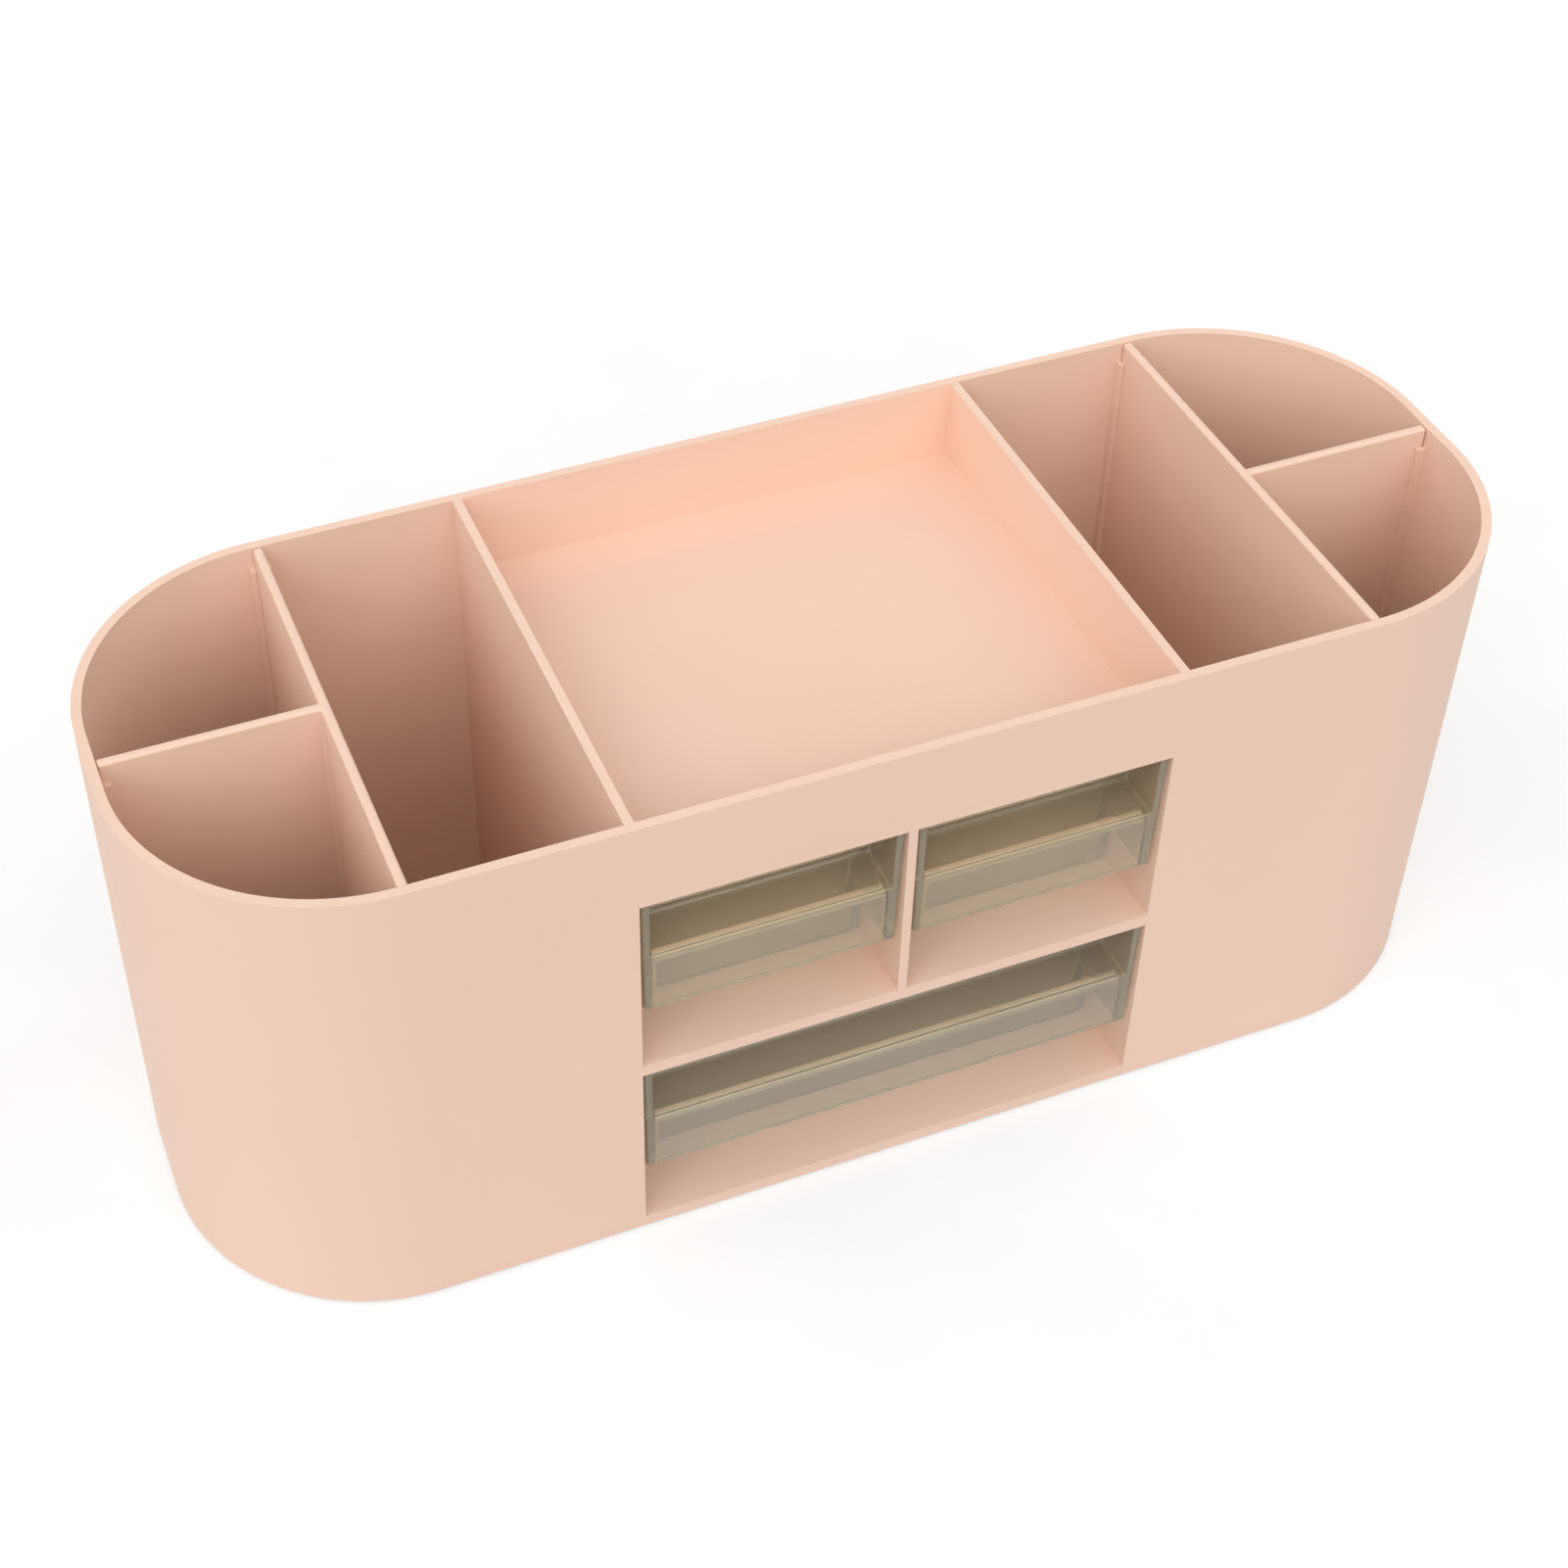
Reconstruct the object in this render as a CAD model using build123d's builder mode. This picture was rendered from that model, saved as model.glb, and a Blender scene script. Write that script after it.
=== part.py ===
"""Desk organizer with pen compartments, removable dividers and three smoke-clear drawers.

The frame stands on the desk: +X runs along the length, -Y is the front with the drawers, +Z is up.
All sizes are in millimetres.
"""

import os
from math import radians, tan

from build123d import *

# Plan of the moulded body
width = 110.0
end_flat = 17.0
wall = 2.1
cabinet_inner_width = 115.4
cabinet_wall = 2.0
pen_slot = 41.8
divider_thickness = 2.1
pocket_length = 44.3

# Heights of the moulded body
base_thickness = 3.0
bay_height = 46.4
shelf_thickness = 3.0
post_thickness = 2.0
tray_floor_thickness = 1.8
tray_depth = 19.4
rim_radius = 0.7
base_edge_radius = 1.2
wall_top_radius = 0.7

# Non-slip pads under the base
pad_radius = 6.0
pad_thickness = 1.6
pad_proud = 0.8
pad_fit = 0.2
pad_inset_x = 42.0
pad_inset_y = 22.0

# Removable dividers and the ribs that guide them
rib_thickness = 1.2
rib_reach = 2.0
rib_top_drop = 4.8
slot_fit = 0.25
end_fit = 0.3

# Drawers
side_fit = 0.35
floor_fit = 0.3
top_fit = 0.6
back_fit = 0.5
front_recess = 0.4
drawer_draft = 1.0
drawer_wall = 1.6
drawer_floor = 1.6
drawer_corner = 1.0
pull_top_drop = 15.5
pull_height = 15.5
pull_lip = 2.0
pull_plate = 2.0
pull_end = 2.2
pull_step = 11.6
pull_depth = 19.0
tub_round = 3.0
pull_round = 1.2

# Levels above the desk
base_bottom = pad_proud
base_top = base_bottom + base_thickness
shelf_bottom = base_top + bay_height
shelf_top = shelf_bottom + shelf_thickness
bay_ceiling = shelf_top + bay_height
tray_top = bay_ceiling + tray_floor_thickness
height = tray_top + tray_depth
rib_top = height - rib_top_drop

# Places along the length and the depth
cabinet_half = cabinet_inner_width / 2
divider_x = cabinet_half + cabinet_wall + pen_slot + divider_thickness / 2
length = 2 * (divider_x + divider_thickness / 2 + pocket_length + wall)
corner_radius = (width - end_flat) / 2
front = -width / 2
inner_front = front + wall
inner_back = -inner_front
rib_offset = divider_thickness / 2 + slot_fit + rib_thickness / 2
upper_bay_width = (cabinet_inner_width - post_thickness) / 2
upper_bay_x = (cabinet_inner_width + post_thickness) / 4
sides = {"left": -1, "right": 1}

os.makedirs("parts", exist_ok=True)


def body_outline(inset, mode=Mode.ADD):
    """Rounded plan of the body, moved inwards by an inset."""
    RectangleRounded(length - 2 * inset, width - 2 * inset, corner_radius - inset, mode=mode)


def keep(builder, name):
    """Label a finished piece and write it as one file."""
    builder.part.label = name
    export_step(builder.part, f"parts/{name}.step")


# Base floor, with shallow seats for the pads
pad_places = {
    f"{depth_name}_{side_name}": (side * (length / 2 - pad_inset_x), depth * (width / 2 - pad_inset_y))
    for depth_name, depth in (("front", -1), ("back", 1))
    for side_name, side in sides.items()
}
pad_seat = pad_thickness - pad_proud

with BuildPart() as base_floor:
    with BuildSketch(Plane.XY.offset(base_bottom)):
        body_outline(0)
    extrude(amount=base_thickness)
    fillet(base_floor.faces().sort_by(Axis.Z)[0].edges(), base_edge_radius)
    with BuildSketch(Plane.XY.offset(base_bottom)):
        with Locations(*pad_places.values()):
            Circle(pad_radius + pad_fit)
    extrude(amount=pad_seat, mode=Mode.SUBTRACT)
keep(base_floor, "base_floor")

# Non-slip pads
for place_name, place in pad_places.items():
    with BuildPart() as foot_pad:
        with BuildSketch():
            with Locations(place):
                Circle(pad_radius)
        extrude(amount=pad_thickness)
    keep(foot_pad, f"foot_pad_{place_name}")

# Outer shell: the wall all round, the drawer window and the guide ribs for the dividers
rib_mid = (inner_back - rib_reach + width / 2) / 2
rib_span = width / 2 - (inner_back - rib_reach)
end_rib_mid = (length / 2 - wall - rib_reach + length / 2) / 2

with BuildPart() as outer_shell:
    with BuildSketch(Plane.XY.offset(base_top)):
        body_outline(0)
        body_outline(wall, mode=Mode.SUBTRACT)
    extrude(amount=height - base_top)
    fillet(outer_shell.faces().sort_by(Axis.Z)[-1].edges(), rim_radius)
    with BuildSketch(Plane.XY.offset(base_top)):
        with Locations((0, front + wall / 2)):
            Rectangle(cabinet_inner_width, 2 * wall)
    extrude(amount=bay_ceiling - base_top, mode=Mode.SUBTRACT)
    with BuildSketch(Plane.XY.offset(base_top)):
        for side in sides.values():
            for offset in (-rib_offset, rib_offset):
                with Locations((side * divider_x + offset, rib_mid), (side * divider_x + offset, -rib_mid)):
                    Rectangle(rib_thickness, rib_span)
                with Locations((side * end_rib_mid, offset)):
                    Rectangle(wall + rib_reach, rib_thickness)
        body_outline(wall / 2, mode=Mode.INTERSECT)
    extrude(amount=rib_top - base_top)
keep(outer_shell, "outer_shell")

# Cabinet walls at both sides of the drawers, up to the rim
for side_name, side in sides.items():
    with BuildPart() as cabinet_side:
        with BuildSketch(Plane.XY.offset(base_top)):
            with Locations((side * (cabinet_half + cabinet_wall / 2), 0)):
                Rectangle(cabinet_wall, width - 2 * wall)
        extrude(amount=height - base_top)
        fillet(cabinet_side.edges().filter_by(Axis.Y).group_by(Axis.Z)[-1], wall_top_radius)
    keep(cabinet_side, f"{side_name}_cabinet_wall")

# Tray floor over the drawers
with BuildPart() as tray_floor:
    with BuildSketch(Plane.XY.offset(bay_ceiling)):
        Rectangle(cabinet_inner_width, width - 2 * wall)
    extrude(amount=tray_floor_thickness)
keep(tray_floor, "tray_floor")

# Shelf between the lower bay and the upper bays, flush with the front face
with BuildPart() as drawer_shelf:
    with BuildSketch(Plane.XY.offset(shelf_bottom)):
        with Locations((0, (front + inner_back) / 2)):
            Rectangle(cabinet_inner_width, inner_back - front)
    extrude(amount=shelf_thickness)
keep(drawer_shelf, "drawer_shelf")

# Upright post wall between the two upper bays
with BuildPart() as drawer_post:
    with BuildSketch(Plane.XY.offset(shelf_top)):
        with Locations((0, (front + inner_back) / 2)):
            Rectangle(post_thickness, inner_back - front)
    extrude(amount=bay_height)
keep(drawer_post, "drawer_post")

# Removable T-shaped dividers: a long wall across the body with a short arm towards the rounded end
divider_bottom = base_top + end_fit


def upright_wall(place, size, edge_axis):
    """Thin wall up to the rim, cut to fit inside the body, with its top edges along one axis rounded."""
    with BuildPart() as upright:
        with BuildSketch(Plane.XY.offset(divider_bottom)):
            with Locations(place):
                Rectangle(*size)
            body_outline(wall + end_fit, mode=Mode.INTERSECT)
        extrude(amount=height - divider_bottom)
        fillet(upright.edges().filter_by(edge_axis).group_by(Axis.Z)[-1], wall_top_radius)
    return upright.part


for side_name, side in sides.items():
    arm_middle = side * (divider_x + length / 2) / 2
    long_wall = upright_wall((side * divider_x, 0), (divider_thickness, width), Axis.Y)
    short_arm = upright_wall((arm_middle, 0), (length / 2 - divider_x, divider_thickness), Axis.X)
    with BuildPart() as divider:
        add(long_wall)
        add(short_arm)
    keep(divider, f"{side_name}_divider")

# Drawers: a tub on the bay floor, whose front steps out over the fingers as a plate with a hanging lip
drawer_height = bay_height - floor_fit - top_fit
drawer_front = front + front_recess
drawer_back = inner_back - back_fit
drawer_depth = drawer_back - drawer_front
drawer_lean = drawer_height * tan(radians(drawer_draft))
upper_front = drawer_front + pull_step
tub_front = drawer_front + pull_depth
lip_back = drawer_front + drawer_lean / 2 + pull_lip


def tapered_tub(place_x, bottom, top_width, inset):
    """Open-mouthed block whose sides lean out with the draft, moved inwards by an inset."""
    with BuildPart() as block:
        with BuildSketch(Plane.XY.offset(bottom)):
            with Locations((place_x, (drawer_front + drawer_back) / 2)):
                RectangleRounded(
                    top_width - 2 * drawer_lean - 2 * inset,
                    drawer_depth - 2 * drawer_lean - 2 * inset,
                    drawer_corner,
                )
        extrude(amount=drawer_height, taper=-drawer_draft)
    return block.part


def side_profile(place_x, points, rounds, span):
    """Slab along X from a side outline; rounds gives the radius at some of its corners."""
    with BuildPart() as slab:
        with BuildSketch(Plane.YZ.offset(place_x)) as outline:
            Polygon(*points, align=None)
            for corner, radius in rounds.items():
                fillet(outline.vertices().sort_by_distance(points[corner])[0], radius)
        extrude(amount=span / 2, both=True)
    return slab.part


def make_drawer(name, place_x, bay_width, bay_floor):
    bottom = bay_floor + floor_fit
    top = bottom + drawer_height
    lip_top = bay_floor + bay_height - pull_top_drop
    lip_bottom = lip_top - pull_height
    top_width = bay_width - 2 * side_fit
    lip_lean = (top - lip_bottom) * tan(radians(drawer_draft))
    finger_width = top_width - 2 * (lip_lean + pull_end)
    recess_width = top_width - 2 * (drawer_lean / 2 + drawer_wall)

    outside = side_profile(
        place_x,
        [
            (front, lip_bottom),
            (front, top),
            (inner_back, top),
            (inner_back, bottom),
            (tub_front, bottom),
            (tub_front, lip_bottom),
        ],
        {4: tub_round},
        bay_width,
    )
    tub_space = side_profile(
        place_x,
        [
            (tub_front + drawer_wall, bottom + drawer_floor),
            (tub_front + drawer_wall, lip_top),
            (upper_front + drawer_wall, lip_top),
            (upper_front + drawer_wall, top),
            (inner_back, top),
            (inner_back, bottom + drawer_floor),
        ],
        {0: tub_round - drawer_floor, 1: pull_round, 2: pull_round},
        bay_width,
    )
    finger_space = side_profile(
        place_x,
        [
            (lip_back, bottom),
            (lip_back, lip_top - pull_plate),
            (tub_front, lip_top - pull_plate),
            (tub_front, bottom),
        ],
        {1: pull_round, 2: pull_round},
        finger_width,
    )
    front_recess_space = side_profile(
        place_x,
        [
            (front, lip_top),
            (front, top),
            (upper_front, top),
            (upper_front, lip_top),
        ],
        {3: pull_round},
        recess_width,
    )
    outer_block = tapered_tub(place_x, bottom, top_width, 0)
    inner_block = tapered_tub(place_x, bottom, top_width, drawer_wall)

    with BuildPart() as tub_cut:
        add(inner_block)
        add(tub_space, mode=Mode.INTERSECT)

    with BuildPart() as drawer:
        add(outer_block)
        add(outside, mode=Mode.INTERSECT)
        add(tub_cut.part, mode=Mode.SUBTRACT)
        add(finger_space, mode=Mode.SUBTRACT)
        add(front_recess_space, mode=Mode.SUBTRACT)
    keep(drawer, name)


make_drawer("upper_left_drawer", -upper_bay_x, upper_bay_width, shelf_top)
make_drawer("upper_right_drawer", upper_bay_x, upper_bay_width, shelf_top)
make_drawer("lower_drawer", 0, cabinet_inner_width, base_top)
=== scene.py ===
"""Looks of the desk organizer: peach-pink moulding, T-shaped dividers and smoke-clear drawers.

Lengths are in millimetres and become metres where a mesh is made. Noise scales and bump depths are in metres.
"""
import math

import bmesh
import bpy
from mathutils import Matrix, Vector


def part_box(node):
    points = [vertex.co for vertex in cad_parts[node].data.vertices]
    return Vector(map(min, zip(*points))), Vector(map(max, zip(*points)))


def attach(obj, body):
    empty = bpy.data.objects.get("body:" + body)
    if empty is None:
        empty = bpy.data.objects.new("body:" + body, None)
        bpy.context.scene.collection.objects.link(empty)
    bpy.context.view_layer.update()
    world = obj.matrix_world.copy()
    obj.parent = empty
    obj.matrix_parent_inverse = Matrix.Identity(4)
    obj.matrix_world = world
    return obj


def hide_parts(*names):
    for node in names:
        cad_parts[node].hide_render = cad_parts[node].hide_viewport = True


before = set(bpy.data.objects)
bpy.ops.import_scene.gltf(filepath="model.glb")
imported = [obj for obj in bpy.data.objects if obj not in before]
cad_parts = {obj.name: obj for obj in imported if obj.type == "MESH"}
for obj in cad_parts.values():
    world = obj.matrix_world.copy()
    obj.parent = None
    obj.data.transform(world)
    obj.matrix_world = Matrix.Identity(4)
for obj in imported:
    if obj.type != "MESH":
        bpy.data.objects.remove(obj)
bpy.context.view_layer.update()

MM = 0.001


def node_box(name):
    """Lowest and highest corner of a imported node, in millimetres."""
    low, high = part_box(name)
    return low / MM, high / MM


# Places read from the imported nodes
base_low, base_high = node_box("base_floor")
wall_low, wall_high = node_box("right_cabinet_wall")
shelf_low, shelf_high = node_box("drawer_shelf")
post_low, post_high = node_box("drawer_post")
tray_low, tray_high = node_box("tray_floor")
divider_low, divider_high = node_box("right_divider")
pad_names = [n for n in sorted(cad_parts) if n.startswith("foot_pad")]
pad_reach = node_box("foot_pad_back_right")[1]

half_length = base_high.x
half_width = base_high.y
rim_level = node_box("outer_shell")[1].z
base_top = base_high.z
inner_y = wall_high.y
wall = half_width - inner_y
cabinet_in = wall_low.x
cabinet_out = wall_high.x

# Sizes that the boxes don't give
CORNER_RADIUS = 46.5
DIVIDER = 2.1
RIB_THICKNESS = 1.2
RIB_REACH = 2.0
RIB_DROP = 4.8
SLOT_FIT = 0.04
PAD_SEAT_DEPTH = 0.8
PAD_SEAT_RADIUS = 6.2

# Edge rounds of the moulded body
RIM_ROUND = 0.65
WINDOW_ROUND = 0.75
BASE_ROUND = 1.2
SEAT_ROUND = 0.2
RIB_ROUND = 0.35

# Fineness of curves and of rounded edges
RIM_STEPS = 64
CIRCLE_STEPS = 48
ROUND_STEPS = 8
DRAWER_CORNER_STEPS = 5
BODY_SEGMENTS = 4
DRAWER_SEGMENTS = 3

# Margins for cutting and for telling edges apart
OVERSHOOT = 5  # cutters reach this far past a surface
ON_FACE = 0.01
OFF_FACE = 0.1
BESIDE = 1
PAST_PADS = 0.5
ALIGNED = 0.9  # a unit direction's part along an axis, for it to count as along that axis
WELD = 0.002
FLAT = 0.002  # radians
SHARP = math.radians(26)


def arc(centre_x, centre_y, radius, start, end, steps):
    """Points on an arc, angles in degrees."""
    points = []
    for i in range(steps + 1):
        angle = math.radians(start + (end - start) * i / steps)
        points.append((centre_x + radius * math.cos(angle), centre_y + radius * math.sin(angle)))
    return points


def rounded_rectangle(x0, y0, x1, y1, radius, steps):
    """Closed outline with round corners, anticlockwise."""
    return (
        arc(x1 - radius, y0 + radius, radius, -90, 0, steps)
        + arc(x1 - radius, y1 - radius, radius, 0, 90, steps)
        + arc(x0 + radius, y1 - radius, radius, 90, 180, steps)
        + arc(x0 + radius, y0 + radius, radius, 180, 270, steps)
    )


def rounded_polygon(points, rounds):
    """Outline whose corners named in rounds are replaced by arcs of those radii."""
    outline = []
    for i, corner in enumerate(points):
        here = Vector(corner)
        if i not in rounds:
            outline.append(tuple(here))
            continue
        before = (Vector(points[i - 1]) - here).normalized()
        after = (Vector(points[(i + 1) % len(points)]) - here).normalized()
        half = before.angle(after) / 2
        radius = rounds[i]
        middle = here + (before + after).normalized() * (radius / math.sin(half))
        first = here + before * (radius / math.tan(half)) - middle
        last = here + after * (radius / math.tan(half)) - middle
        turn = first.angle_signed(last)
        for k in range(ROUND_STEPS + 1):
            swing = Matrix.Rotation(-turn * k / ROUND_STEPS, 2)
            outline.append(tuple(middle + swing @ first))
    return outline


def new_object(name, bm):
    """Object from a bmesh in millimetres, with its faces turned outwards."""
    bmesh.ops.recalc_face_normals(bm, faces=bm.faces)
    bmesh.ops.scale(bm, vec=(MM, MM, MM), verts=bm.verts)
    mesh = bpy.data.meshes.new(name)
    bm.to_mesh(mesh)
    bm.free()
    piece = bpy.data.objects.new(name, mesh)
    bpy.context.scene.collection.objects.link(piece)
    return piece


def add_loft(bm, loops):
    """Closed skin through loops of 3-D points that have equal counts, with flat ends."""
    rings = [[bm.verts.new(p) for p in loop] for loop in loops]
    count = len(rings[0])
    for lower, upper in zip(rings, rings[1:]):
        for i in range(count):
            j = (i + 1) % count
            bm.faces.new((lower[i], lower[j], upper[j], upper[i]))
    bm.faces.new(rings[0][::-1])
    bm.faces.new(rings[-1])


def upright(outline, z0, z1):
    """Two loops of an outline in plan, at two heights."""
    return [[(x, y, z) for x, y in outline] for z in (z0, z1)]


def sideways(outline, x0, x1):
    """Two loops of an outline in side view, at two places along the length."""
    return [[(x, y, z) for y, z in outline] for x in (x0, x1)]


def solid(name, loops):
    """Object with a closed skin through loops of points."""
    bm = bmesh.new()
    add_loft(bm, loops)
    return new_object(name, bm)


def combine(target, cutter, operation):
    """Cut or intersect a piece with another, which is used up."""
    modifier = target.modifiers.new("combine", "BOOLEAN")
    modifier.object = cutter
    modifier.operation = operation
    modifier.solver = "EXACT"
    bpy.context.view_layer.update()
    graph = bpy.context.evaluated_depsgraph_get()
    mesh = bpy.data.meshes.new_from_object(target.evaluated_get(graph))
    target.modifiers.clear()
    old = target.data
    target.data = mesh
    bpy.data.meshes.remove(old)
    spent = cutter.data
    bpy.data.objects.remove(cutter)
    bpy.data.meshes.remove(spent)
    return target


def round_edges(piece, width_at, widest, segments, edge_slot=-1):
    """Bevel sharp edges as wide as width_at says; edge_slot, if given, is the bevels' material slot."""
    bm = bmesh.new()
    bm.from_mesh(piece.data)
    bmesh.ops.remove_doubles(bm, verts=bm.verts, dist=WELD * MM)
    bmesh.ops.dissolve_limit(bm, angle_limit=FLAT, verts=bm.verts, edges=bm.edges, delimit={"MATERIAL"})
    layer = bm.edges.layers.float.new("bevel_weight_edge")
    for edge in bm.edges:
        if len(edge.link_faces) == 2 and edge.calc_face_angle(0) > SHARP:
            a, b = (v.co / MM for v in edge.verts)
            edge[layer] = width_at((a + b) / 2, (b - a).normalized(), edge.is_convex) / widest
            edge.smooth = edge[layer] > 0
    for face in bm.faces:
        face.smooth = True
    bm.to_mesh(piece.data)
    bm.free()
    bevel = piece.modifiers.new("edges", "BEVEL")
    bevel.limit_method = "WEIGHT"
    bevel.width = widest * MM
    bevel.segments = segments
    bevel.harden_normals = True
    bevel.use_clamp_overlap = True
    bevel.material = edge_slot
    return piece


# Moulded body: one block with the compartments, tray and drawer bays cut out of it
rib_top = rim_level - RIB_DROP
divider_x = divider_low.x + DIVIDER / 2
rib_near = DIVIDER / 2 + SLOT_FIT
rib_far = rib_near + RIB_THICKNESS


def compartment_outline(side):
    """Inside of one end compartment in plan: points, and whether each is on the free edge of a guide rib."""
    end = half_length - wall
    radius = CORNER_RADIUS - wall
    mid_x, mid_y = end - radius, inner_y - radius

    def wall_y(x):
        return mid_y + math.sqrt(radius ** 2 - max(x - mid_x, 0) ** 2)

    def rib_points(x, y, inward, across):
        """Four points of a rib that stands on the wall, from its first foot to its last."""
        last_x, last_y = x + across[0], y + across[1]
        return [
            (x, y, False),
            (x + inward[0], y + inward[1], True),
            (last_x + inward[0], last_y + inward[1], True),
            (last_x, last_y, False),
        ]

    def long_wall_rib(x, face, across):
        """Rib on the back (face 1) or front wall (face -1), with its last foot on the wall's curve."""
        rib = rib_points(x, face * wall_y(x), (0, -face * RIB_REACH), (across, 0))
        rib[-1] = (x + across, face * wall_y(x + across), False)
        return rib

    points = [(cabinet_out, -inner_y, False)]
    for x in (divider_x - rib_far, divider_x + rib_near):
        points += long_wall_rib(x, -1, RIB_THICKNESS)
    first = math.degrees(math.acos((divider_x + rib_far - mid_x) / radius))
    points += [(x, y, False) for x, y in arc(mid_x, -mid_y, radius, -first, 0, RIM_STEPS)[1:]]
    for y in (-rib_far, rib_near):
        points += rib_points(end, y, (-RIB_REACH, 0), (0, RIB_THICKNESS))
    points += [(x, y, False) for x, y in arc(mid_x, mid_y, radius, 0, first, RIM_STEPS)[:-1]]
    for x in (divider_x + rib_far, divider_x - rib_near):
        points += long_wall_rib(x, 1, -RIB_THICKNESS)
    points.append((cabinet_out, inner_y, False))
    return [(side * x, y, on_rib) for x, y, on_rib in points]


def compartment_cutter(bm, side):
    """Space of one end compartment, with the ribs left standing up to their tops."""
    outline = compartment_outline(side)
    above = rim_level + OVERSHOOT
    low = [bm.verts.new((x, y, base_top)) for x, y, _ in outline]
    middle = [bm.verts.new((x, y, rib_top)) for x, y, _ in outline]
    high = {i: bm.verts.new((x, y, above)) for i, (x, y, on_rib) in enumerate(outline) if not on_rib}
    count = len(outline)
    for i in range(count):
        j = (i + 1) % count
        bm.faces.new((low[i], low[j], middle[j], middle[i]))
    plain = sorted(high)
    for i, j in zip(plain, plain[1:] + plain[:1]):
        bm.faces.new((middle[i], middle[j], high[j], high[i]))
        top_of_rib = middle[i:j + 1]
        if len(top_of_rib) > 2:
            bm.faces.new(top_of_rib)
    bm.faces.new(low[::-1])
    bm.faces.new([high[i] for i in plain])


def build_body():
    """Body with its compartments, tray, drawer bays and pad seats, and rounded edges."""
    outline = rounded_rectangle(-half_length, -half_width, half_length, half_width, CORNER_RADIUS, RIM_STEPS)
    body = solid("body_moulding", upright(outline, base_low.z, rim_level))
    bm = bmesh.new()
    for side in (-1, 1):
        compartment_cutter(bm, side)
    outside = -half_width - OVERSHOOT

    def pocket(x0, y0, z0, x1, y1, z1):
        add_loft(bm, upright([(x0, y0), (x1, y0), (x1, y1), (x0, y1)], z0, z1))

    pocket(-cabinet_in, -inner_y, tray_high.z, cabinet_in, inner_y, rim_level + OVERSHOOT)
    pocket(-cabinet_in, outside, base_top, cabinet_in, inner_y, shelf_low.z)
    pocket(-cabinet_in, outside, shelf_high.z, post_low.x, inner_y, tray_low.z)
    pocket(post_high.x, outside, shelf_high.z, cabinet_in, inner_y, tray_low.z)
    for name in pad_names:
        low, high = node_box(name)
        middle = (low + high) / 2
        ring = arc(middle.x, middle.y, PAD_SEAT_RADIUS, 0, 360, CIRCLE_STEPS)[:-1]
        add_loft(bm, upright(ring, base_low.z - OVERSHOOT, base_low.z + PAD_SEAT_DEPTH))
    combine(body, new_object("spaces", bm), "DIFFERENCE")

    def width_at(middle, direction, convex):
        from_middle, from_centre_line = abs(middle.x), abs(middle.y)
        if middle.z > rim_level - ON_FACE:
            return RIM_ROUND
        on_front = middle.y < -half_width + ON_FACE
        if on_front and from_middle < cabinet_in + BESIDE and middle.z > base_low.z + OFF_FACE:
            return WINDOW_ROUND
        if middle.z < base_low.z + ON_FACE:
            past_pads = max(from_middle - pad_reach.x, from_centre_line - pad_reach.y)
            return BASE_ROUND if past_pads > PAST_PADS else SEAT_ROUND
        near_divider = abs(from_middle - divider_x) < rib_far + OFF_FACE
        near_rib = near_divider or from_centre_line < rib_far + OFF_FACE
        in_compartment = from_middle > cabinet_out + BESIDE and middle.z > base_top + OFF_FACE
        if near_rib and convex and in_compartment:
            return RIB_ROUND
        return 0

    return round_edges(body, width_at, BASE_ROUND, BODY_SEGMENTS)


# T-shaped dividers
DIVIDER_GROW = 0.15
DIVIDER_TOP_ROUND = 0.7
DIVIDER_END_ROUND = 0.6
DIVIDER_BOTTOM_ROUND = 0.3


def build_divider(side, name):
    """Divider at the left (side -1) or right (side 1) end, a long wall with a short arm."""
    inner = divider_low.x
    outer = inner + DIVIDER
    end = divider_high.x + DIVIDER_GROW
    reach = divider_high.y + DIVIDER_GROW
    arm = DIVIDER / 2
    outline = [
        (inner, -reach), (outer, -reach), (outer, -arm), (end, -arm),
        (end, arm), (outer, arm), (outer, reach), (inner, reach),
    ]
    outline = [(side * x, y) for x, y in outline]
    piece = solid(name, upright(outline, divider_low.z, divider_high.z))

    def width_at(middle, direction, convex):
        if middle.z > divider_high.z - ON_FACE:
            return DIVIDER_TOP_ROUND
        if abs(direction.z) > ALIGNED:
            return DIVIDER_END_ROUND
        return DIVIDER_BOTTOM_ROUND

    return round_edges(piece, width_at, DIVIDER_TOP_ROUND, BODY_SEGMENTS)


# Drawers: a tub whose front steps out over the fingers as a plate with a hanging lip
DRAWER_DRAFT = math.radians(1.0)
DRAWER_WALL = 1.6
DRAWER_FLOOR = 1.6
DRAWER_CORNER = 1.0
TOP_FIT = 0.6
PULL_TOP_DROP = 15.5
PULL_HEIGHT = 15.5
PULL_LIP = 2.0
PULL_PLATE = 2.0
PULL_END = 2.2
PULL_STEP = 11.6
PULL_DEPTH = 19.0
TUB_ROUND = 3.0
PULL_ROUND = 1.2
DRAWER_EDGE = 0.45
DRAWER_HOLLOW = 0.7
PANE_SLOT = 0
# The second slot holds a lightened copy of the smoke plastic: painted light on rounded strips and wall ends
EDGE_SLOT = 1
PANE_FACING = 0.97  # a pane's normal has at least this part along one axis


# The faces marked here get painted light: a hazier, yellower plastic that stands in for the light the clear
# edges let through
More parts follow.
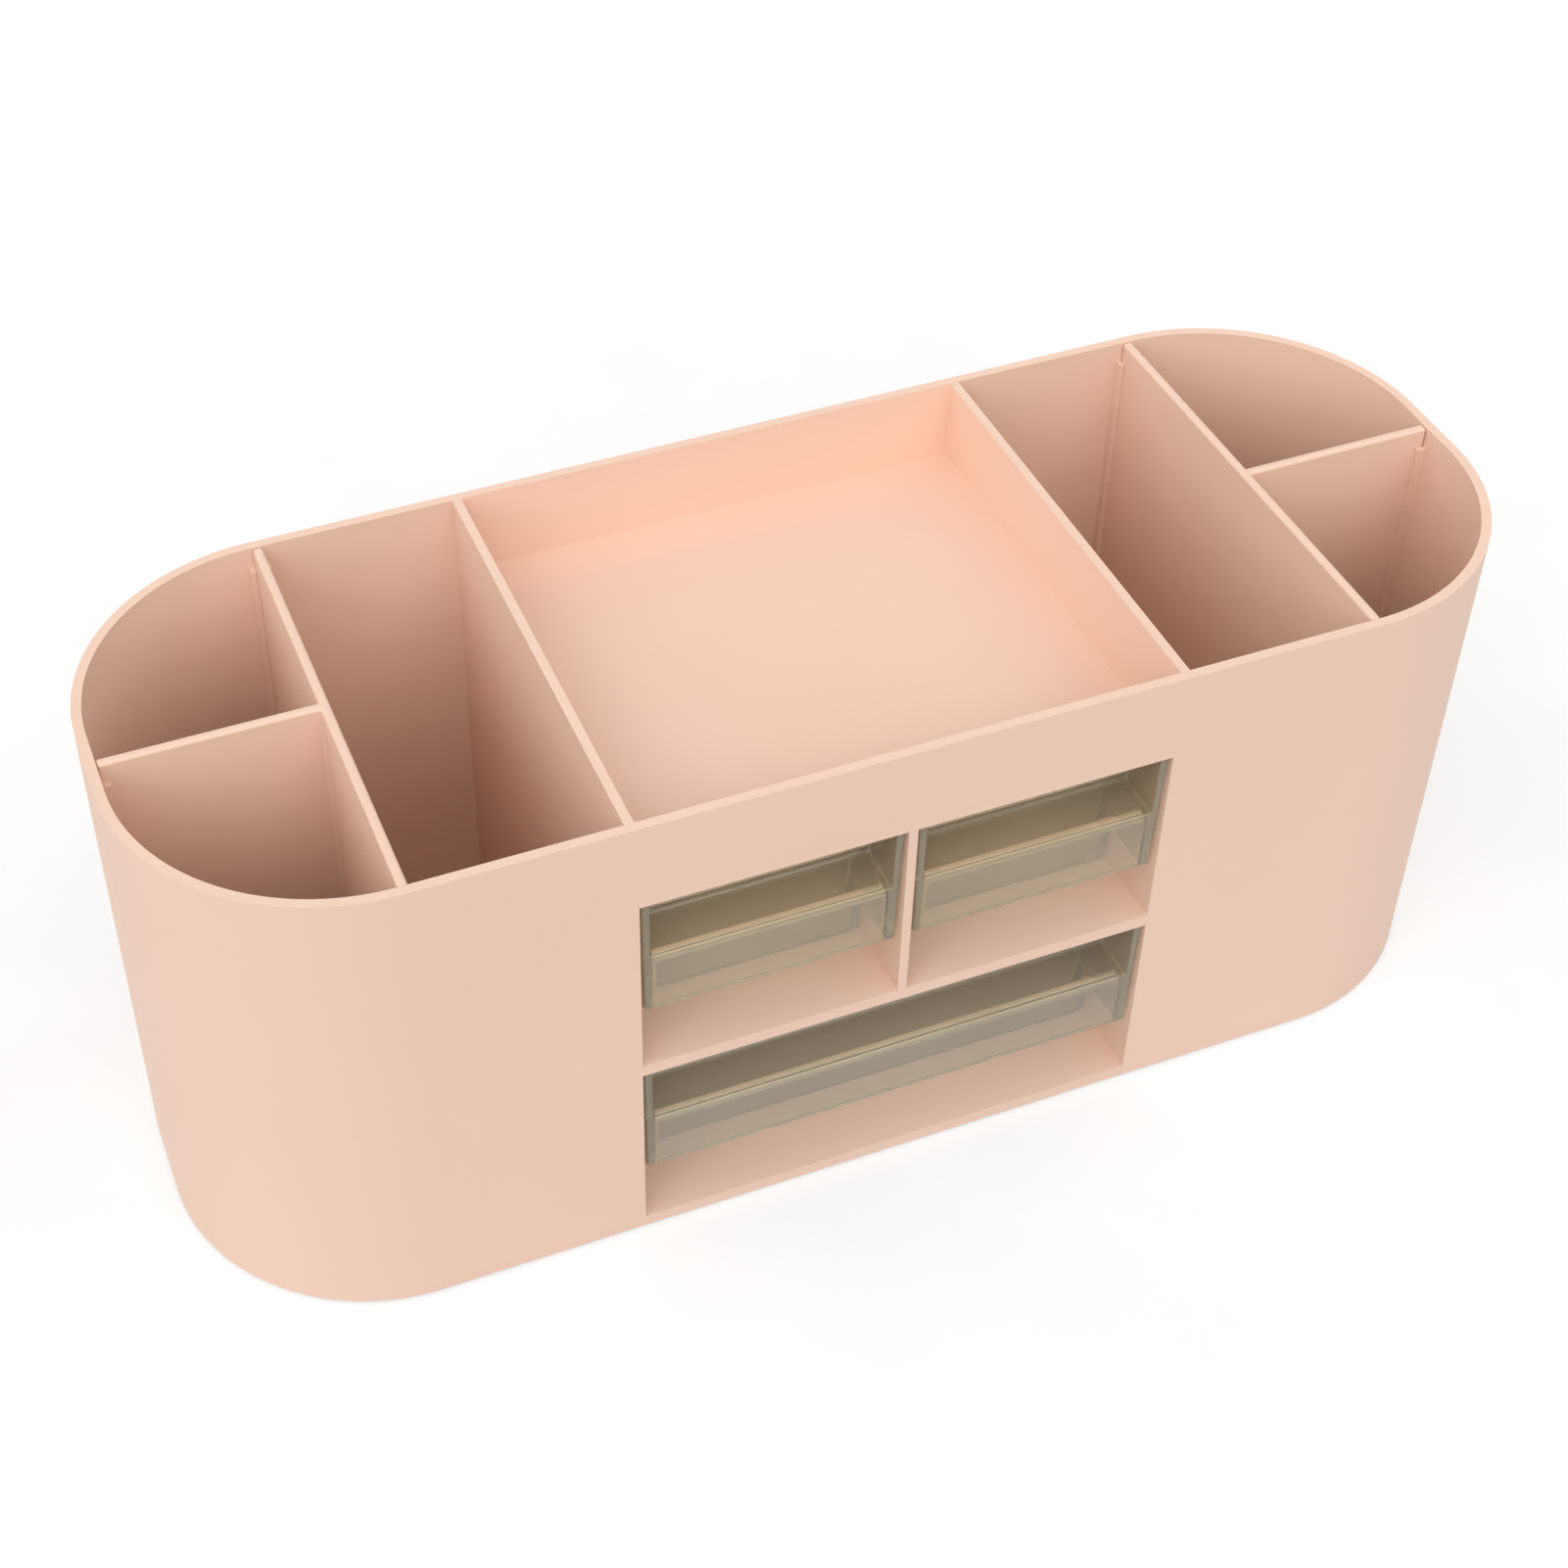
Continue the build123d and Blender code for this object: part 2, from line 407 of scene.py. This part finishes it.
def mark_edges(drawer, low, high, strip):
    """Give the second material slot to round strips and to the front ends of the side walls."""
    bm = bmesh.new()
    bm.from_mesh(drawer.data)
    left, right = low.x + strip, high.x - strip
    for place in (left, right):
        geometry = bm.verts[:] + bm.edges[:] + bm.faces[:]
        bmesh.ops.bisect_plane(bm, geom=geometry, plane_co=(place * MM, 0, 0), plane_no=(1, 0, 0))
    for face in bm.faces:
        middle = face.calc_center_median() / MM
        beside = middle.x < left or middle.x > right
        wall_end = beside and face.normal.y < -ALIGNED and middle.y < low.y + strip
        rounded = max(abs(part) for part in face.normal) < PANE_FACING
        face.material_index = EDGE_SLOT if wall_end or rounded else PANE_SLOT
    bm.to_mesh(drawer.data)
    bm.free()


def build_drawer(name, node):
    """Drawer in its node's place: a tapered block with the tub, finger space and front recess cut out."""
    low, high = node_box(node)
    top, bottom = high.z, low.z
    lean = (top - bottom) * math.tan(DRAWER_DRAFT)
    lip_top = top + TOP_FIT - PULL_TOP_DROP
    lip_bottom = lip_top - PULL_HEIGHT
    lip_back = low.y + lean / 2 + PULL_LIP
    upper_front = low.y + PULL_STEP
    tub_front = low.y + PULL_DEPTH
    before, behind = low.y - OVERSHOOT, high.y + OVERSHOOT
    below, above = bottom - OVERSHOOT, top + OVERSHOOT

    def tapered(inset):
        loops = []
        for z in (below, above):
            grow = (z - top) * math.tan(DRAWER_DRAFT) - inset
            corners = (low.x - grow, low.y - grow, high.x + grow, high.y + grow)
            plan = rounded_rectangle(*corners, DRAWER_CORNER, DRAWER_CORNER_STEPS)
            loops.append([(x, y, z) for x, y in plan])
        return loops

    def slab(points, rounds, inset):
        outline = rounded_polygon(points, rounds)
        return solid("slab", sideways(outline, low.x + inset, high.x - inset))

    outside = slab(
        [
            (before, lip_bottom), (tub_front, lip_bottom), (tub_front, bottom),
            (behind, bottom), (behind, top), (before, top),
        ],
        {2: TUB_ROUND},
        -OVERSHOOT,
    )
    tub_space = slab(
        [
            (tub_front + DRAWER_WALL, bottom + DRAWER_FLOOR), (behind, bottom + DRAWER_FLOOR),
            (behind, above), (upper_front + DRAWER_WALL, above),
            (upper_front + DRAWER_WALL, lip_top), (tub_front + DRAWER_WALL, lip_top),
        ],
        {0: TUB_ROUND - DRAWER_FLOOR, 4: PULL_ROUND, 5: PULL_ROUND},
        -OVERSHOOT,
    )
    finger_space = slab(
        [
            (lip_back, lip_bottom - OVERSHOOT), (tub_front, lip_bottom - OVERSHOOT),
            (tub_front, lip_top - PULL_PLATE), (lip_back, lip_top - PULL_PLATE),
        ],
        {2: PULL_ROUND, 3: PULL_ROUND},
        (top - lip_bottom) * math.tan(DRAWER_DRAFT) + PULL_END,
    )
    front_recess = slab(
        [(before, lip_top), (upper_front, lip_top), (upper_front, above), (before, above)],
        {1: PULL_ROUND},
        lean / 2 + DRAWER_WALL,
    )
    drawer = combine(solid(name, tapered(0)), outside, "INTERSECT")
    tub = combine(solid("tub", tapered(DRAWER_WALL)), tub_space, "INTERSECT")
    for space in (tub, finger_space, front_recess):
        combine(drawer, space, "DIFFERENCE")
    mark_edges(drawer, low, high, PULL_END + lean)

    def width_at(middle, direction, convex):
        return DRAWER_EDGE if convex else DRAWER_HOLLOW

    return round_edges(drawer, width_at, DRAWER_HOLLOW, DRAWER_SEGMENTS, EDGE_SLOT)


# Pads: low discs with a rounded edge and a shallow dished face, as radius and height from the middle outwards
PAD_PROFILE = [
    (0.0, 0.25), (3.6, 0.25), (4.2, 0.0), (5.3, 0.0), (5.8, 0.2), (6.0, 0.6),
    (6.0, 1.6), (0.0, 1.6),
]


def build_pad(name, node):
    """Pad turned about its node's middle, from rings; at the two ends of the profile a ring is one point."""
    low, high = node_box(node)
    middle = (low + high) / 2
    bm = bmesh.new()
    rings = []
    for radius, z in PAD_PROFILE:
        if radius:
            circle = arc(middle.x, middle.y, radius, 0, 360, CIRCLE_STEPS)[:-1]
            rings.append([bm.verts.new((x, y, z)) for x, y in circle])
        else:
            rings.append([bm.verts.new((middle.x, middle.y, z))] * CIRCLE_STEPS)
    for lower, upper in zip(rings, rings[1:]):
        for i in range(CIRCLE_STEPS):
            j = (i + 1) % CIRCLE_STEPS
            corners = dict.fromkeys((lower[i], lower[j], upper[j], upper[i]))
            bm.faces.new(list(corners)).smooth = True
    return new_object(name, bm)


# Materials
NOISE_LOW, NOISE_HIGH = 0.3, 0.7  # most of a noise's values lie between these


def linear(red, green, blue):
    """Linear colour from 8-bit sRGB values."""
    parts = [c / 255 for c in (red, green, blue)]
    return tuple(((c + 0.055) / 1.055) ** 2.4 if c > 0.04045 else c / 12.92 for c in parts)


def start_material(name):
    """New material with its nodes, links and main shader."""
    material = bpy.data.materials.new(name)
    material.use_nodes = True
    nodes = material.node_tree.nodes
    return material, nodes, material.node_tree.links, nodes["Principled BSDF"]


def noise(nodes, links, scale, detail, roughness=0.5):
    """Noise texture in the object's own metres."""
    place = nodes.new("ShaderNodeTexCoord")
    texture = nodes.new("ShaderNodeTexNoise")
    texture.inputs["Scale"].default_value = scale
    texture.inputs["Detail"].default_value = detail
    texture.inputs["Roughness"].default_value = roughness
    links.new(place.outputs["Object"], texture.inputs["Vector"])
    return texture.outputs["Fac"]


def spread(nodes, links, source, low, high):
    """Noise stretched to a range of values."""
    span = nodes.new("ShaderNodeMapRange")
    span.inputs["From Min"].default_value = NOISE_LOW
    span.inputs["From Max"].default_value = NOISE_HIGH
    span.inputs["To Min"].default_value = low
    span.inputs["To Max"].default_value = high
    links.new(source, span.inputs["Value"])
    return span.outputs["Result"]


def blend(nodes, links, source, first, second):
    """Colour that wanders between two tones with a noise."""
    ramp = nodes.new("ShaderNodeValToRGB")
    ramp.color_ramp.elements[0].position = NOISE_LOW
    ramp.color_ramp.elements[1].position = NOISE_HIGH
    ramp.color_ramp.elements[0].color = (*first, 1)
    ramp.color_ramp.elements[1].color = (*second, 1)
    links.new(source, ramp.inputs["Fac"])
    return ramp.outputs["Color"]


def bump(nodes, links, height, strength, distance):
    """Normal of a surface that a noise raises and lowers."""
    node = nodes.new("ShaderNodeBump")
    node.inputs["Strength"].default_value = strength
    node.inputs["Distance"].default_value = distance
    links.new(height, node.inputs["Height"])
    return node.outputs["Normal"]


def body_plastic():
    """Matte peach-pink plastic with the fine spark-eroded grain of the mould."""
    material, nodes, links, shader = start_material("body_plastic")
    cloud = noise(nodes, links, scale=14, detail=3)
    grain = noise(nodes, links, scale=2600, detail=2, roughness=0.6)
    tone = blend(nodes, links, cloud, linear(235, 201, 180), linear(237, 204, 184))
    links.new(tone, shader.inputs["Base Color"])
    links.new(spread(nodes, links, grain, low=0.46, high=0.6), shader.inputs["Roughness"])
    links.new(bump(nodes, links, grain, strength=0.16, distance=0.00006), shader.inputs["Normal"])
    shader.inputs["IOR"].default_value = 1.47
    return material


def smoke_plastic(name, first, second, clearness):
    """Clear smoke plastic with a slight haze and faint flow marks, which the lamps shine through."""
    material, nodes, links, shader = start_material(name)
    flow = noise(nodes, links, scale=60, detail=3)
    links.new(blend(nodes, links, flow, first, second), shader.inputs["Base Color"])
    links.new(spread(nodes, links, flow, low=0.02, high=0.05), shader.inputs["Roughness"])
    links.new(bump(nodes, links, flow, strength=0.015, distance=0.0002), shader.inputs["Normal"])
    shader.inputs["Transmission Weight"].default_value = clearness
    shader.inputs["IOR"].default_value = 1.5
    clear = nodes.new("ShaderNodeBsdfTransparent")
    rays = nodes.new("ShaderNodeLightPath")
    either = nodes.new("ShaderNodeMixShader")
    links.new(rays.outputs["Is Shadow Ray"], either.inputs["Fac"])
    links.new(shader.outputs["BSDF"], either.inputs[1])
    links.new(clear.outputs["BSDF"], either.inputs[2])
    links.new(either.outputs["Shader"], nodes["Material Output"].inputs["Surface"])
    return material


def pad_rubber():
    """Soft grey non-slip foam rubber."""
    material, nodes, links, shader = start_material("pad_rubber")
    grain = noise(nodes, links, scale=1500, detail=3)
    tone = blend(nodes, links, grain, linear(203, 196, 190), linear(212, 206, 200))
    links.new(tone, shader.inputs["Base Color"])
    links.new(spread(nodes, links, grain, low=0.75, high=0.9), shader.inputs["Roughness"])
    links.new(bump(nodes, links, grain, strength=0.3, distance=0.0001), shader.inputs["Normal"])
    return material


def dress(piece, body, materials, slot, *nodes):
    """Give a piece its materials and the body it rides on, and hide the nodes it stands for; slot is not
    used.
    """
    for material in materials:
        piece.data.materials.append(material)
    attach(piece, body)
    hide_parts(*nodes)


# Clear drawers: panes first, then edges, with painted light: the edges get a hazier, yellower copy of the
# smoke plastic that lightens the rounded strips and wall ends where clear plastic shows them dark. The wide
# drawer gets a greyer copy, a painted paler reflection
# Edge clearness below the panes' paints lighter, hazier edges in place of the light that clear edges show
PANE_CLEARNESS = 0.85
PAINTED_EDGE_CLEARNESS = 0.68

pink = [body_plastic()]
smoke = [
    smoke_plastic("smoke_plastic", linear(213, 203, 180), linear(216, 206, 184), PANE_CLEARNESS),
    smoke_plastic("smoke_edge", linear(211, 195, 162), linear(214, 198, 166), PAINTED_EDGE_CLEARNESS),
]
# Painted reflection: the wide drawer gets a greyer copy of the same smoke plastic, standing in for the paler
# reflection on it
smoke_wide_painted_grey = [
    smoke_plastic("smoke_plastic_wide", linear(205, 199, 182), linear(208, 202, 186), PANE_CLEARNESS),
    smoke_plastic("smoke_edge_wide", linear(206, 194, 165), linear(209, 197, 169), PAINTED_EDGE_CLEARNESS),
]
rubber = [pad_rubber()]

# Pieces
dress(
    build_body(), "organizer", pink, "body_plastic",
    "outer_shell", "base_floor", "left_cabinet_wall", "right_cabinet_wall",
    "tray_floor", "drawer_shelf", "drawer_post",
)
for side, side_name in ((-1, "left"), (1, "right")):
    node = f"{side_name}_divider"
    dress(build_divider(side, f"{side_name}_divider_wall"), node, pink, "body_plastic", node)
# The wide drawer takes the greyer copy, its painted paler reflection
drawer_looks = {"upper_left_drawer": smoke, "upper_right_drawer": smoke, "lower_drawer": smoke_wide_painted_grey}
for node, materials in drawer_looks.items():
    dress(build_drawer(f"{node}_tub", node), node, materials, "smoke_plastic", node)
for node in pad_names:
    dress(build_pad(f"{node}_disc", node), "organizer", rubber, "pad_rubber", node)

# Floor: plain and pale, with a glow that keeps it white where it is seen but lights nothing
WHITE = (1, 1, 1, 1)
FLOOR_REACH = 10000
FLOOR_DARK = (0.5, 0.5, 0.5)
FLOOR_LIGHT = (0.52, 0.52, 0.52)
FLOOR_ROUGHNESS = 0.9
FLOOR_SHINE = 0.1
FLOOR_GLOW = 0.48


def directly_seen(nodes, links):
    """One for rays from the camera, a reflection or clear plastic, nought for those that light things."""
    rays = nodes.new("ShaderNodeLightPath")
    seen = rays.outputs["Is Camera Ray"]
    for kind in ("Is Glossy Ray", "Is Transmission Ray"):
        either = nodes.new("ShaderNodeMath")
        either.operation = "MAXIMUM"
        links.new(seen, either.inputs[0])
        links.new(rays.outputs[kind], either.inputs[1])
        seen = either.outputs["Value"]
    return seen


bm = bmesh.new()
bmesh.ops.create_grid(bm, x_segments=1, y_segments=1, size=FLOOR_REACH)
floor = new_object("floor", bm)
material, nodes, links, shader = start_material("floor")
grain = noise(nodes, links, scale=30, detail=2)
links.new(blend(nodes, links, grain, FLOOR_DARK, FLOOR_LIGHT), shader.inputs["Base Color"])
shader.inputs["Roughness"].default_value = FLOOR_ROUGHNESS
shader.inputs["Specular IOR Level"].default_value = FLOOR_SHINE
shader.inputs["Emission Color"].default_value = WHITE
glow = nodes.new("ShaderNodeMath")
glow.operation = "MULTIPLY"
glow.inputs[1].default_value = FLOOR_GLOW
links.new(directly_seen(nodes, links), glow.inputs[0])
links.new(glow.outputs["Value"], shader.inputs["Emission Strength"])
floor.data.materials.append(material)

# Light: a dim even sky that is white where it is seen directly, and wide soft lamps
SKY_STRENGTH = 0.2
SKY_SEEN = 1.0
LAMP_SPREAD = math.radians(70)

world = bpy.data.worlds.new("studio")
bpy.context.scene.world = world
world.use_nodes = True
nodes = world.node_tree.nodes
links = world.node_tree.links
sky = nodes["Background"]
sky.inputs["Color"].default_value = WHITE
level = nodes.new("ShaderNodeMapRange")
level.inputs["To Min"].default_value = SKY_STRENGTH
level.inputs["To Max"].default_value = SKY_SEEN
links.new(directly_seen(nodes, links), level.inputs["Value"])
links.new(level.outputs["Result"], sky.inputs["Strength"])


def direction(azimuth, elevation):
    """Unit vector by angles in degrees, azimuth 0 in front of the part and positive to its right."""
    turn, lift = math.radians(azimuth), math.radians(elevation)
    return Vector((math.sin(turn) * math.cos(lift), -math.cos(turn) * math.cos(lift), math.sin(lift)))


def soft_lamp(name, azimuth, elevation, strength):
    """Lamp far away in a direction; at strength 1 a white surface that faces it is white."""
    data = bpy.data.lights.new(name, "SUN")
    data.energy = strength * math.pi
    data.angle = LAMP_SPREAD
    lamp = bpy.data.objects.new(name, data)
    lamp.rotation_euler = direction(azimuth, elevation).to_track_quat("Z", "Y").to_euler()
    bpy.context.scene.collection.objects.link(lamp)


soft_lamp("key", azimuth=-21, elevation=40, strength=0.6)
soft_lamp("left", azimuth=-95, elevation=35, strength=0.4)
soft_lamp("right", azimuth=70, elevation=40, strength=0.3)
soft_lamp("back", azimuth=170, elevation=20, strength=0.16)

# Camera fitted to the photograph: angles in degrees, lengths in millimetres, picture places in pixels
AZIMUTH, ELEVATION, ROLL = -20.696, 42.323, -0.506
DISTANCE = 557.277
TARGET = (-30.117, 0.0, 93.065)
FOCAL, CENTRE_X, CENTRE_Y, PICTURE = 2712.866, 685.326, 733.12, 1601
SENSOR = 36.0

turn, roll = math.radians(AZIMUTH), math.radians(ROLL)
back = direction(AZIMUTH, ELEVATION)
across = Vector((math.cos(turn), math.sin(turn), 0))
upwards = back.cross(across)
camera_x = math.cos(roll) * across + math.sin(roll) * upwards
camera_y = math.cos(roll) * upwards - math.sin(roll) * across
placed = Matrix((camera_x, camera_y, back)).transposed().to_4x4()
placed.translation = (Vector(TARGET) + back * DISTANCE) * MM
lens = bpy.data.cameras.new("camera")
lens.sensor_width = SENSOR
lens.lens = FOCAL / PICTURE * SENSOR
lens.shift_x = (PICTURE / 2 - CENTRE_X) / PICTURE
lens.shift_y = (CENTRE_Y - PICTURE / 2) / PICTURE
lens.clip_start = 0.01
lens.clip_end = 100
camera = bpy.data.objects.new("camera", lens)
camera.matrix_world = placed
bpy.context.scene.collection.objects.link(camera)
bpy.context.scene.camera = camera
bpy.context.scene.view_settings.view_transform = "Standard"
